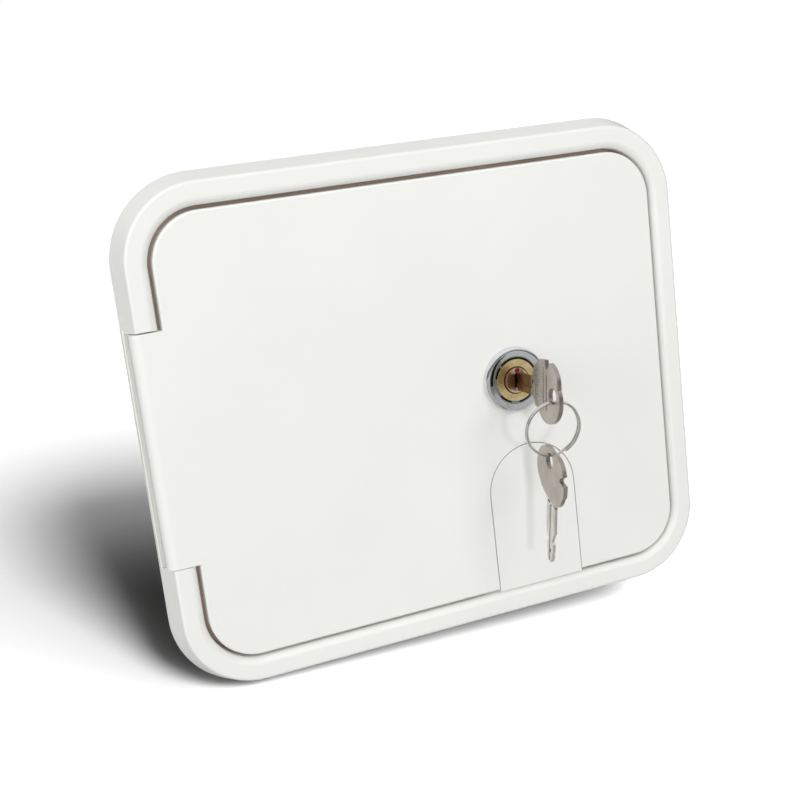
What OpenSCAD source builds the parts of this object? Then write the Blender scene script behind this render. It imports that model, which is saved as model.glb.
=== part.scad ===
// Lockable camper hatch door: a drafted plastic frame, a flush ribbed leaf on a hidden
// hinge, a sprung cable flap in the leaf, a cam lock, and its two keys on a ring.
// X runs right, Z up and +Y into the camper wall. The wall's outer face is the plane y = 0.

/* [Frame] */
// Width of the frame at the wall
frame_w = 250; // [225:1:300]
// Height of the frame at the wall
frame_h = 214; // [200:1:260]
// How far the frame stands proud of the wall
frame_proud = 12; // [11:0.1:14]
// Width of the frame's upright sides
side_w = 12.9; // [12:0.1:15]
// Width of the frame's level sides
rail_w = 13.4; // [12:0.1:15]
// How far each outer side leans in between the wall and the face
frame_draft = 3.9; // [2.5:0.1:4.4]
// Chamfer round the inner edge of the frame's face
frame_chamfer = 2; // [0.8:0.1:2.4]
// Wall thickness of the hollow frame
frame_wall = 2.4; // [2:0.1:2.8]
// Spacing of the ribs in the hollow behind the frame's face
frame_rib_pitch = 28; // [20:1:36]
// Thickness of the ledge that the leaf closes on
ledge_t = 2.6; // [2:0.1:3]
// Width of that ledge, measured inwards
ledge_w = 9; // [7:0.5:11]
// Thickness of the spigot wall that lines the hole in the camper wall
spigot_t = 2.9; // [2:0.1:3.2]
// Depth of the spigot behind the wall's outer face
spigot_depth = 22; // [18:1:40]
// Radius of the screw holes through the spigot
screw_hole_r = 2.1; // [1.6:0.1:2.6]
// Height of the screw holes above and below the middle
screw_hole_up = 62; // [50:1:66]
// Distance of the screw holes behind the wall's outer face
screw_hole_y = 12; // [9:0.5:14]
// Width and height of the thin lip on the base strip beside the hinge
lip_w = 0.9; // [0.6:0.1:1.2]

/* [Leaf] */
// Gap between leaf and frame
leaf_gap = 1.6; // [1.2:0.1:2]
// Corner radius of the leaf
leaf_corner_r = 20.4; // [16:0.2:24]
// Depth of the leaf's edge
leaf_depth = 6.8; // [6:0.1:7.5]
// Softened edge round the leaf's face
leaf_soft = 0.8; // [0.3:0.1:1.2]
// Thickness of the leaf's skin
skin_t = 2.5; // [2:0.1:2.8]
// Thickness of the leaf's edge wall
edge_t = 2.4; // [2:0.1:3]
// Thickness of the leaf's ribs
rib_t = 1.6; // [1.2:0.1:2]
// Spacing of the leaf's upright ribs
rib_pitch_x = 36; // [28:1:44]
// Spacing of the leaf's level ribs
rib_pitch_z = 46; // [30:1:52]

/* [Leaf hinge] */
// Height of the hinge tab
tab_h = 96; // [60:1:110]
// Distance of the hinge axis from the frame's outer edge
hinge_in = 5.8; // [5.4:0.1:6.2]
// Clearance behind the tab's barrel
barrel_clear = 0.8; // [0.5:0.1:1]
// Radius of the hinge pins
hinge_pin_r = 1.6; // [1.2:0.1:1.8]
// Length of each hinge pin
hinge_pin_l = 26; // [20:1:32]
// End gap between the tab and the frame
tab_gap = 0.4; // [0.3:0.05:0.8]

/* [Cable flap] */
// Distance of the flap's middle to the right of the middle of the hatch
flap_x = 40.3; // [34:0.1:46]
// Radius of the flap's arched top
flap_r = 20.5; // [17:0.1:22]
// Height of the arch's centre below the middle of the hatch
flap_drop = 49; // [46:0.5:54]
// Gap round the flap
flap_gap = 0.4; // [0.3:0.05:0.6]
// Thickness of the flap's skin
flap_t = 2.4; // [2:0.1:2.6]
// How far the flap's rear lip reaches behind the leaf's skin
flap_lip = 1.3; // [1:0.1:1.6]
// Thickness of that lip
flap_lip_t = 1.6; // [1.2:0.1:2]
// Radius of the flap's hinge pin
flap_pin_r = 1.25; // [1:0.05:1.4]
// Wall of the flap's hinge barrels round that pin
flap_barrel_wall = 1.4; // [1.2:0.1:1.6]
// Width of each of the flap's two goosenecks
flap_arm_w = 8; // [6:0.5:10]
// Width of each lug that holds the flap's pin
flap_lug_w = 3; // [2.5:0.1:4]
// End gap between a gooseneck and its lug
flap_lug_gap = 2; // [1:0.1:2.5]
// Room round the flap's lip and behind its hinge
flap_room = 1; // [0.8:0.1:1.5]
// Wire radius of the flap's spring
spring_wire_r = 0.4; // [0.3:0.05:0.45]

/* [Lock] */
// Distance of the lock to the right of the middle of the hatch
lock_x = 36; // [30:0.5:40]
// Height of the lock above the middle of the hatch
lock_up = 1.5; // [0:0.5:6]
// How far the rosette reaches past the lock body
rosette_rim = 3.6; // [2:0.1:4]
// How far the rosette stands proud of the leaf
rosette_t = 3; // [1.5:0.1:3.4]
// Radius of the lock body
lock_body_r = 10.6; // [10.3:0.1:11.4]
// Radius of the brass barrel
lock_barrel_r = 9.2; // [8.8:0.1:9.4]
// Radius of the turning plug
plug_r = 5.5; // [5.2:0.1:6]
// How far the plug's face stands out from the barrel's
plug_proud = 0.8; // [0.3:0.1:1.2]
// Length of the lock body behind the leaf's skin
lock_body_l = 18; // [15:0.5:22]
// Thickness of the nut behind the leaf
nut_t = 3.5; // [3:0.1:4]
// How far the nut's corners reach past the lock body
nut_rim = 4; // [3:0.5:5]
// Room round the nut's corners
nut_room = 1; // [0.5:0.1:1.5]
// Reach of the cam from the plug's axis
cam_reach = 43; // [38:0.5:46]
// Thickness of the cam
cam_t = 2.5; // [2:0.1:3]
// Width of the cam's arm
cam_w = 12; // [10:0.5:14]
// Width of the square on the plug that drives the cam
tail_w = 6; // [5:0.5:7]
// How far the cam's tip reaches behind the keeper
keeper_lap = 7; // [5:0.5:9]
// Thickness of the keeper
keeper_t = 3; // [2.5:0.1:4]
// Height of the keeper
keeper_w = 18; // [14:1:24]
// Gap between the keeper and the cam that turns behind it
keeper_gap = 0.5; // [0.3:0.1:0.8]

/* [Keys] */
// Thickness of a key
key_t = 2; // [1.8:0.1:2.6]
// Height of a key's blade
blade_h = 8; // [7:0.1:8.6]
// Height of the blade's cut end, which enters the lock
bit_h = 6; // [5:0.1:6.4]
// Length of a key's blade
blade_l = 26.5; // [24:0.5:30]
// Length of blade that is inside the lock
blade_in = 10.3; // [8:0.1:12]
// Half height of a key's bow
bow_r = 12.8; // [11:0.1:14]
// Radius of the hole in a bow
bow_hole_r = 3.3; // [2.8:0.1:3.6]
// Distance from a key's shoulder to the middle of the hole in its bow
bow_hole_u = 17.8; // [15:0.1:18]
// Mean radius of the key ring
ring_r = 11.7; // [11:0.1:14]
// Radius of the key ring's wire
ring_wire_r = 0.62; // [0.55:0.01:0.75]
// How far the hanging ring leans towards the leaf
ring_lean = 9; // [0:0.5:14]
// How far the hanging spare key leans towards the leaf
spare_lean = 5.5; // [0:0.5:14]
// How far both lean to the left
hang_roll = 4.5; // [0:0.5:8]
// How far both are turned about the upright
hang_turn = 4.5; // [0:0.5:8]
// How far the plug with the key in it is turned from upright
plug_turn = 6; // [0:1:10]

/* [Fits] */
// Radial clearance of a pin that turns in its bore
pin_fit = 0.05; // [0.03:0.01:0.08]
// Small gap between neighbouring pieces that don't touch
clear = 0.3; // [0.2:0.05:0.4]
// Clearance of the key in its keyway
key_fit = 0.1; // [0.05:0.05:0.15]

/* [Hidden] */
$fn = 64;

// Overshoot of a cutting solid past the face that it cuts
cut = 1;
// The origin is on the frame's back, in the middle of the rim of its lower side
centre_z = frame_h / 2 - frame_wall / 2;
face_y = -frame_proud;

// The pocket that the leaf closes, and the clear opening inside the ledge
pocket_w = frame_w - 2 * side_w;
pocket_h = frame_h - 2 * rail_w;
pocket_r = leaf_corner_r + leaf_gap;
frame_corner_r = pocket_r + side_w;
opening_w = pocket_w - 2 * ledge_w;
opening_h = pocket_h - 2 * ledge_w;
opening_r = pocket_r - ledge_w;
spigot_w = pocket_w + 2 * spigot_t;
spigot_h = pocket_h + 2 * spigot_t;
spigot_r = pocket_r + spigot_t;

// The leaf's size and its planes, from its face to the back of its edge
leaf_w = pocket_w - 2 * leaf_gap;
leaf_h = pocket_h - 2 * leaf_gap;
skin_y = face_y + skin_t;
edge_y = face_y + leaf_depth;
seal_y = edge_y + clear;

// Hinge axis of the leaf: the barrel's front is flush with the face
barrel_r = (frame_proud - ledge_t - barrel_clear) / 2;
hinge_x = -frame_w / 2 + hinge_in;
hinge_y = face_y + barrel_r;
tab_cut_h = tab_h + 2 * tab_gap;
boss_end = tab_cut_h / 2 + hinge_pin_l / 2 + frame_wall;

// Flap and its hinge, hidden behind the skin just above the arch
flap_z = -flap_drop;
flap_hole_r = flap_r + flap_gap;
flap_foot = -leaf_h / 2 - leaf_gap / 2;
flap_lip_r = flap_hole_r + flap_lip;
flap_lip_y = skin_y + clear / 2;
flap_barrel_r = flap_pin_r + flap_barrel_wall;
flap_pin_y = skin_y + clear + flap_barrel_r;
flap_pin_z = flap_z + flap_lip_r + flap_barrel_r + 2 * clear;
flap_arm_x = flap_r / 2;
flap_lug_x = flap_arm_x + flap_arm_w / 2 + flap_lug_gap;
flap_room_r = flap_lip_r + flap_room;
flap_notch_w = 2 * (flap_room_r + edge_t);
spring_r = flap_pin_r + spring_wire_r + 0.1;
spring_turns = 8;
spring_pitch = 2 * spring_wire_r - 0.04;
spring_end_x = spring_turns / 2 * spring_pitch + spring_wire_r + clear;

// Planes of the lock
rosette_r = lock_body_r + rosette_rim;
rosette_y = face_y - rosette_t;
barrel_y = rosette_y - 0.2;
plug_y = barrel_y - plug_proud;
lock_back = skin_y + lock_body_l;
cam_y = lock_back + clear;
nut_r = lock_body_r + nut_rim;
keyway_w = key_t + 2 * key_fit;
keyway_h = bit_h + 2 * key_fit;
mark_r = (plug_r - keyway_h / 2) / 2 - 0.05;
mark_z = (plug_r + keyway_h / 2) / 2;
mark_t = 0.4;

// The keeper on the frame that the cam turns behind
keeper_y = cam_y - keeper_gap - keeper_t;
keeper_x = lock_x + cam_reach - keeper_lap;

// Key in the lock: its shoulder, its bow's hole and the ring's wire in that hole
shoulder_y = barrel_y - (blade_l - blade_in);
bow_hole_y = shoulder_y - bow_hole_u;
bow_hole_v = -0.13 * bow_r;
wire_drop = bow_hole_r - ring_wire_r - 0.25;
wire_gap = 2 * ring_wire_r - 0.1;

// Everything is modelled about the middle of the hatch, then raised to the origin
module raised() {
    translate([0, 0, centre_z]) children();
}

// Rounded rectangle in the plane of its two sizes
module rounded_2d(w, h, r) {
    square([w - 2 * r, h], center = true);
    square([w, h - 2 * r], center = true);
    for (x = [-1, 1], y = [-1, 1])
        translate([x * (w / 2 - r), y * (h / 2 - r)]) circle(r);
}

// Upright plate with rounded corners between the planes y0 and y1
module plate(w, h, r, y0, y1) {
    translate([0, y1, 0])
        rotate([90, 0, 0])
            linear_extrude(height = y1 - y0)
                rounded_2d(w, h, r);
}

// The same with drafted sides: full size at y1, smaller by the draft on each side at y0
module drafted_plate(w, h, r, draft, y0, y1) {
    for (x = [-1, 1], z = [-1, 1])
        translate([x * (w / 2 - r), y0, z * (h / 2 - r)])
            rotate([-90, 0, 0])
                cylinder(h = y1 - y0, r1 = r - draft, r2 = r);
    translate([-(w / 2 - r), 0, 0])
        rotate([90, 0, 90])
            linear_extrude(height = w - 2 * r)
                polygon([[y0, -h / 2 + draft], [y1, -h / 2], [y1, h / 2], [y0, h / 2 - draft]]);
    translate([0, 0, -(h / 2 - r)])
        linear_extrude(height = h - 2 * r)
            polygon([[-w / 2 + draft, y0], [w / 2 - draft, y0], [w / 2, y1], [-w / 2, y1]]);
}

// The reverse: full size at y0, smaller at y1, which cuts a chamfer round a pocket's mouth
module flared_plate(w, h, r, flare, y0, y1) {
    mirror([0, 1, 0]) drafted_plate(w, h, r, flare, -y1, -y0);
}

// Disc or rod along Y between two planes
module rod_y(r, y0, y1) {
    translate([0, y0, 0]) rotate([-90, 0, 0]) cylinder(h = y1 - y0, r = r);
}

module at_lock() {
    translate([lock_x, 0, lock_up]) children();
}

module at_plug() {
    at_lock() rotate([0, plug_turn, 0]) children();
}

// Outline of the cable flap: an arch with a straight foot
module arch_2d(r, foot) {
    translate([flap_x, flap_z]) circle(r);
    translate([flap_x - r, foot]) square([2 * r, flap_z - foot]);
}

module arch(r, foot, y0, y1) {
    translate([0, y1, 0]) rotate([90, 0, 0]) linear_extrude(height = y1 - y0) arch_2d(r, foot);
}

module hinge_bore(r, z0, z1) {
    translate([hinge_x, hinge_y, z0]) cylinder(h = z1 - z0, r = r, $fn = 32);
}

// The frame's drafted outside, moved in by the inset, between the planes y0 and y1
module drafted_outside(inset, y0, y1) {
    lean = frame_draft / frame_proud;
    grow = lean * y1 - inset;
    drafted_plate(frame_w + 2 * grow, frame_h + 2 * grow, frame_corner_r + grow,
        lean * (y1 - y0), y0, y1);
}

// Hollow behind the frame's face, open to the wall, crossed by ribs
module frame_hollow() {
    difference() {
        drafted_outside(frame_wall, face_y + frame_wall, cut);
        plate(spigot_w, spigot_h, spigot_r, face_y, 2 * cut);
        // Solid along the hinge, where the pins are held
        translate([-frame_w, face_y, -boss_end])
            cube([frame_w / 2 + frame_w / 2 - spigot_w / 2 + cut, frame_proud + 2 * cut, 2 * boss_end]);
        columns = floor((pocket_w / 2 - pocket_r) / frame_rib_pitch);
        for (i = [-columns:columns])
            translate([i * frame_rib_pitch - rib_t / 2, face_y, -frame_h / 2])
                cube([rib_t, frame_proud + 2 * cut, frame_h]);
        rows = floor((pocket_h / 2 - pocket_r) / frame_rib_pitch);
        for (i = [-rows:rows])
            translate([-frame_w / 2, face_y, i * frame_rib_pitch - rib_t / 2])
                cube([frame_w, frame_proud + 2 * cut, rib_t]);
    }
}

// Keeper arm from the right-hand spigot wall in to the cam's tip, on two gussets
module keeper() {
    root_x = pocket_w / 2 + spigot_t / 2;
    ramp = keeper_t / 2;
    translate([0, 0, lock_up - keeper_w / 2])
        linear_extrude(height = keeper_w)
            polygon([[keeper_x, keeper_y], [root_x, keeper_y], [root_x, keeper_y + keeper_t],
                [keeper_x + 2 * ramp, keeper_y + keeper_t], [keeper_x, keeper_y + keeper_t - ramp]]);
    for (z = [lock_up - keeper_w / 2, lock_up + keeper_w / 2 - rib_t])
        translate([0, 0, z])
            linear_extrude(height = rib_t)
                polygon([[opening_w / 2, -cut], [root_x, -cut], [root_x, keeper_y + cut],
                    [keeper_x + 4 * ramp, keeper_y + cut], [opening_w / 2, 0]]);
}

module frame() {
    color("whitesmoke") raised() difference() {
        union() {
            difference() {
                union() {
                    drafted_outside(0, face_y, 0);
                    plate(spigot_w, spigot_h, spigot_r, -cut, spigot_depth);
                }
                frame_hollow();
                plate(pocket_w, pocket_h, pocket_r, face_y - cut, -ledge_t);
                plate(opening_w, opening_h, opening_r, -ledge_t - cut, cut);
                plate(pocket_w, pocket_h, pocket_r, 0, spigot_depth + cut);
                flared_plate(pocket_w + 2 * frame_chamfer, pocket_h + 2 * frame_chamfer,
                    pocket_r + frame_chamfer, frame_chamfer, face_y, face_y + frame_chamfer);
                // Room for the leaf's hinge tab
                translate([-frame_w / 2 - cut, face_y - cut, -tab_cut_h / 2])
                    cube([side_w + 2 * cut, frame_proud + cut - ledge_t, tab_cut_h]);
                // Room for a cable at the flap's foot
                translate([flap_x - flap_notch_w / 2, -ledge_t - cut, -pocket_h / 2])
                    cube([flap_notch_w, ledge_t + 2 * cut, ledge_w + cut]);
            }
            keeper();
            // Thin lip along the base strip, outside the tab's barrel
            translate([-frame_w / 2, -ledge_t - lip_w, -tab_cut_h / 2 - cut])
                cube([lip_w, lip_w + cut, tab_cut_h + 2 * cut]);
        }
        for (side = [-1, 1])
            mirror([0, 0, side < 0 ? 1 : 0])
                hinge_bore(hinge_pin_r, tab_h / 2 - cut, tab_h / 2 + tab_gap / 2 + hinge_pin_l / 2);
        // Screw holes through the spigot's two upright walls
        for (x = [-1, 1], z = [-1, 1])
            translate([x * (spigot_w / 2 + cut), screw_hole_y, z * screw_hole_up])
                rotate([0, -x * 90, 0])
                    cylinder(h = spigot_t + 2 * cut, r = screw_hole_r);
    }
}

module door_seal() {
    color("dimgray") raised() difference() {
        plate(pocket_w - 2 * clear, pocket_h - 2 * clear, pocket_r - clear, seal_y, -ledge_t);
        plate(opening_w + ledge_w / 2, opening_h + ledge_w / 2, opening_r + ledge_w / 4,
            seal_y - cut, cut);
        translate([flap_x - flap_notch_w / 2, seal_y - cut, -pocket_h / 2])
            cube([flap_notch_w, frame_proud, ledge_w + cut]);
        // The seal's left side stops at the hinge tab's barrel
        translate([-frame_w / 2, seal_y - cut, -tab_cut_h / 2])
            cube([frame_w / 2 - leaf_w / 2 + clear, frame_proud, tab_cut_h]);
    }
}

module hinge_pin_upper() {
    color("silver") raised()
        hinge_bore(hinge_pin_r, tab_h / 2 + tab_gap / 2 - hinge_pin_l / 2,
            tab_h / 2 + tab_gap / 2 + hinge_pin_l / 2);
}

module hinge_pin_lower() {
    color("silver") raised() mirror([0, 0, 1])
        hinge_bore(hinge_pin_r, tab_h / 2 + tab_gap / 2 - hinge_pin_l / 2,
            tab_h / 2 + tab_gap / 2 + hinge_pin_l / 2);
}

// Skin, edge wall, hinge tab, ribs, and the walls round the lock and the flap
module leaf_shell() {
    drafted_plate(leaf_w, leaf_h, leaf_corner_r, leaf_soft, face_y, face_y + leaf_soft);
    difference() {
        plate(leaf_w, leaf_h, leaf_corner_r, face_y + leaf_soft, edge_y);
        plate(leaf_w - 2 * edge_t, leaf_h - 2 * edge_t, leaf_corner_r - edge_t, skin_y, edge_y + cut);
    }
    translate([hinge_x, face_y, -tab_h / 2])
        cube([-hinge_x - leaf_w / 2 + edge_t, skin_t, tab_h]);
    hinge_bore(barrel_r, -tab_h / 2, tab_h / 2);
    // Ribs inside the tab
    tab_ribs = 4;
    for (i = [0:tab_ribs])
        translate([hinge_x, skin_y - cut, -tab_h / 2 + i * (tab_h - rib_t) / tab_ribs])
            cube([-hinge_x - leaf_w / 2 + edge_t, edge_y - skin_y, rib_t]);
    intersection() {
        plate(leaf_w, leaf_h, leaf_corner_r, face_y + leaf_soft, edge_y);
        union() {
            columns = floor((leaf_w / 2 - edge_t) / rib_pitch_x);
            for (i = [-columns:columns])
                translate([i * rib_pitch_x - rib_t / 2, skin_y - cut, -leaf_h / 2])
                    cube([rib_t, leaf_depth, leaf_h]);
            rows = floor((leaf_h / 2 - edge_t) / rib_pitch_z);
            for (i = [-rows:rows])
                translate([-leaf_w / 2, skin_y - cut, i * rib_pitch_z - rib_t / 2])
                    cube([leaf_w, leaf_depth, rib_t]);
            at_lock() rod_y(nut_r + nut_room + edge_t, skin_y - cut, edge_y);
            arch(flap_room_r + edge_t, -leaf_h / 2, skin_y - cut, edge_y);
            flap_hinge_room(edge_t);
        }
    }
}

// Box behind the skin that the flap's hinge lies in, grown by the margin
module flap_hinge_room(margin) {
    x = flap_lug_x + flap_lug_w + margin;
    up = flap_barrel_r + clear + flap_room + margin;
    translate([flap_x - x, margin > 0 ? skin_y - cut : skin_y, flap_pin_z - flap_barrel_r - flap_lip_r / 2])
        cube([2 * x, margin > 0 ? edge_y - skin_y + cut : leaf_depth, flap_barrel_r + flap_lip_r / 2 + up]);
}

module flap_lugs() {
    lug_r = flap_barrel_r;
    for (x = [flap_x - flap_lug_x - flap_lug_w, flap_x + flap_lug_x]) {
        translate([x, skin_y - cut, flap_pin_z - lug_r])
            cube([flap_lug_w, flap_pin_y - skin_y + cut, 2 * lug_r]);
        translate([x, flap_pin_y, flap_pin_z])
            rotate([0, 90, 0]) cylinder(h = flap_lug_w, r = lug_r);
    }
}

// Bore along the flap's hinge axis, from lug to lug
module flap_bore(r) {
    translate([flap_x - flap_lug_x - flap_lug_w - cut, flap_pin_y, flap_pin_z])
        rotate([0, 90, 0])
            cylinder(h = 2 * (flap_lug_x + flap_lug_w + cut), r = r, $fn = 32);
}

module door_leaf() {
    color("white") raised() difference() {
        union() {
            difference() {
                leaf_shell();
                // Flap opening, and the room for its lip and hinge behind the skin
                arch(flap_hole_r, -leaf_h, face_y - cut, edge_y + cut);
                arch(flap_room_r, -leaf_h, skin_y, edge_y + cut);
                flap_hinge_room(0);
                // Lock hole and the nut's room
                at_lock() rod_y(lock_body_r + 0.2, face_y - cut, edge_y + cut);
                at_lock() rod_y(nut_r + nut_room, skin_y, edge_y + cut);
            }
            flap_lugs();
        }
        flap_bore(flap_pin_r);
        for (side = [-1, 1])
            mirror([0, 0, side < 0 ? 1 : 0])
                hinge_bore(hinge_pin_r + pin_fit, tab_h / 2 - hinge_pin_l / 2 - clear, tab_h / 2 + cut);
    }
}

// Wedge of a disc in the plane of the lock's face, from angle a0 to a1
module wedge_2d(r, a0, a1) {
    steps = 6;
    polygon([for (i = [-1:steps]) i < 0 ? [0, 0]
        : r * [cos(a0 + i * (a1 - a0) / steps), sin(a0 + i * (a1 - a0) / steps)]]);
}

module lock_rosette() {
    lip_r = lock_body_r - 0.2;
    color("lightgray") raised() at_lock() difference() {
        translate([0, face_y, 0]) rotate([90, 0, 0]) rotate_extrude()
            polygon([[lip_r, 0], [rosette_r, 0], [rosette_r, rosette_t * 0.55],
                [rosette_r - rosette_rim * 0.07, rosette_t * 0.78],
                [rosette_r - rosette_rim * 0.25, rosette_t * 0.93],
                [rosette_r - rosette_rim * 0.5, rosette_t], [lip_r, rosette_t]]);
        // Curved slot on the left, tapering to its upper end
        difference() {
            rod_y(rosette_r - rosette_rim * 0.56, rosette_y - cut, rosette_y + rosette_t * 0.6);
            translate([0.6, 0, 1.1]) rod_y(lock_body_r + 0.6, rosette_y - 2 * cut, face_y);
            rod_y(lock_body_r + 0.3, rosette_y - 2 * cut, face_y);
            translate([0, face_y, 0]) rotate([90, 0, 0])
                linear_extrude(height = rosette_t + 2 * cut)
                    wedge_2d(2 * rosette_r, -176, 108);
        }
    }
}

module lock_body() {
    land_y = rosette_y;
    gap_y = face_y + 1;
    color("gray") raised() at_lock() difference() {
        union() {
            rod_y(lock_body_r, face_y, lock_back);
            rod_y(lock_body_r - 0.2, land_y, face_y);
        }
        rod_y(lock_barrel_r, land_y - cut, lock_back + cut);
        // Gaps round the barrel, with lands between them
        intersection() {
            rod_y(lock_body_r - 0.6, land_y - cut, gap_y);
            translate([0, gap_y, 0]) rotate([90, 0, 0])
                linear_extrude(height = gap_y - land_y + cut) {
                    wedge_2d(2 * lock_body_r, 24, 131);
                    wedge_2d(2 * lock_body_r, 137, 168);
                    wedge_2d(2 * lock_body_r, 215, 251);
                    wedge_2d(2 * lock_body_r, 273, 318);
                }
        }
    }
}

module lock_nut() {
    color("silver") raised() at_lock() difference() {
        translate([0, skin_y, 0]) rotate([-90, 0, 0]) cylinder(h = nut_t, r = nut_r, $fn = 6);
        rod_y(lock_body_r, skin_y - cut, skin_y + nut_t + cut);
    }
}

module lock_barrel() {
    color("gold") raised() at_lock() difference() {
        rod_y(lock_barrel_r, barrel_y, lock_back);
        rod_y(plug_r + pin_fit, barrel_y - cut, lock_back + cut);
        // Ring groove round the plug
        rod_y(plug_r + 0.5, barrel_y - cut, barrel_y + 0.6);
    }
}

module lock_plug() {
    color("goldenrod") raised() at_plug() difference() {
        union() {
            rod_y(plug_r, plug_y, cam_y);
            translate([-tail_w / 2, cam_y - cut, -tail_w / 2]) cube([tail_w, cam_t + cut, tail_w]);
        }
        // Keyway, and the recess for the painted mark above it
        translate([-keyway_w / 2, plug_y - cut, -keyway_h / 2])
            cube([keyway_w, barrel_y - plug_y + blade_in + cut + 1, keyway_h]);
        translate([0, 0, mark_z]) rod_y(mark_r, plug_y - cut, plug_y + mark_t);
    }
}

// Painted mark that shows which way the plug is turned
module lock_mark() {
    color("firebrick") raised() at_plug()
        translate([0, 0, mark_z]) rod_y(mark_r, plug_y, plug_y + mark_t);
}

module lock_cam() {
    color("silver") raised() at_plug() difference() {
        union() {
            rod_y(0.75 * cam_w, cam_y, cam_y + cam_t);
            translate([-cam_w / 2, cam_y, 0]) cube([cam_w, cam_t, cam_reach - cam_w / 2]);
            translate([0, 0, cam_reach - cam_w / 2]) rod_y(cam_w / 2, cam_y, cam_y + cam_t);
        }
        translate([-tail_w / 2, cam_y - cut, -tail_w / 2]) cube([tail_w, cam_t + 2 * cut, tail_w]);
    }
}

// Hexagon screw with a washer, on the plug's square end
module cam_screw() {
    color("silver") raised() at_plug() {
        rod_y(0.8 * tail_w, cam_y + cam_t, cam_y + cam_t + 0.8);
        translate([0, cam_y + cam_t, 0]) rotate([-90, 0, 0])
            cylinder(h = 3.4, r = 0.62 * tail_w, $fn = 6);
    }
}

module cable_flap() {
    arm_foot = flap_z + flap_r * 0.55;
    color("white") raised() difference() {
        union() {
            arch(flap_r, flap_foot, face_y, face_y + flap_t);
            arch(flap_r - 1, flap_foot + 1, face_y + flap_t - cut / 2, flap_lip_y + flap_lip_t);
            arch(flap_lip_r, flap_foot + 3, flap_lip_y, flap_lip_y + flap_lip_t);
            // Two goosenecks up to the hinge barrels
            for (side = [-1, 1])
                translate([flap_x + side * flap_arm_x - flap_arm_w / 2, 0, 0]) {
                    translate([0, flap_pin_y, flap_pin_z])
                        rotate([0, 90, 0]) cylinder(h = flap_arm_w, r = flap_barrel_r);
                    rotate([90, 0, 90])
                        linear_extrude(height = flap_arm_w)
                            polygon([[flap_pin_y - flap_barrel_r, flap_pin_z],
                                [flap_lip_y, flap_pin_z - flap_barrel_r - clear], [flap_lip_y, arm_foot],
                                [flap_lip_y + flap_lip_t, arm_foot],
                                [flap_pin_y + flap_barrel_r, flap_pin_z - flap_barrel_r],
                                [flap_pin_y + flap_barrel_r, flap_pin_z]]);
                }
            // Stiffening rib down the back
            translate([flap_x - rib_t / 2, flap_lip_y, flap_foot + 6])
                cube([rib_t, flap_lip_t + 1.6, flap_z - flap_foot]);
        }
        translate([flap_x - flap_lug_x, flap_pin_y, flap_pin_z])
            rotate([0, 90, 0]) cylinder(h = 2 * flap_lug_x, r = flap_pin_r + pin_fit, $fn = 32);
    }
}

module flap_pin() {
    color("silver") raised()
        translate([flap_x - flap_lug_x - flap_lug_w, flap_pin_y, flap_pin_z])
            rotate([0, 90, 0]) cylinder(h = 2 * (flap_lug_x + flap_lug_w), r = flap_pin_r, $fn = 32);
}

// Closed turns of wire round the flap's pin, as one plain sleeve
module spring_coil(turns) {
    rotate([0, 90, 0]) difference() {
        cylinder(h = turns * spring_pitch, r = spring_r + spring_wire_r, center = true, $fn = 32);
        cylinder(h = turns * spring_pitch + 2 * cut, r = spring_r - spring_wire_r, center = true, $fn = 32);
    }
}

module at_flap_pin() {
    translate([flap_x, flap_pin_y, flap_pin_z]) children();
}

// Torsion spring round the flap's pin, with the leg that bears on the leaf's skin
module flap_spring() {
    color("silver") raised() at_flap_pin() {
        spring_coil(spring_turns);
        rotate([12, 0, 0])
            translate([-(spring_turns - 1) / 2 * spring_pitch, -spring_r, 0])
                cylinder(h = flap_barrel_r + 2 * clear, r = 0.75 * spring_wire_r, $fn = 8);
    }
}

// The spring's last turn with the leg that bears on the flap, so it moves with the flap
module spring_end() {
    color("silver") raised() at_flap_pin() {
        translate([spring_end_x, 0, 0]) spring_coil(1);
        rotate([-13, 0, 0]) translate([spring_end_x, spring_r, 0]) rotate([180, 0, 0])
            cylinder(h = flap_r / 2, r = 0.75 * spring_wire_r, $fn = 8);
    }
}

// Height of the blade's edge against the distance from the shoulder, as shares of both
function bitting() = [
    [0.50, blade_h / 2], [0.53, bit_h * 0.50], [0.64, bit_h * 0.30], [0.69, bit_h * 0.47],
    [0.79, bit_h * 0.50], [0.85, bit_h * 0.38], [0.91, bit_h * 0.45], [0.96, bit_h * 0.34], [1, 1]
];

module key_slab() {
    translate([0, 0, -key_t / 2]) linear_extrude(height = key_t) children();
}

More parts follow.
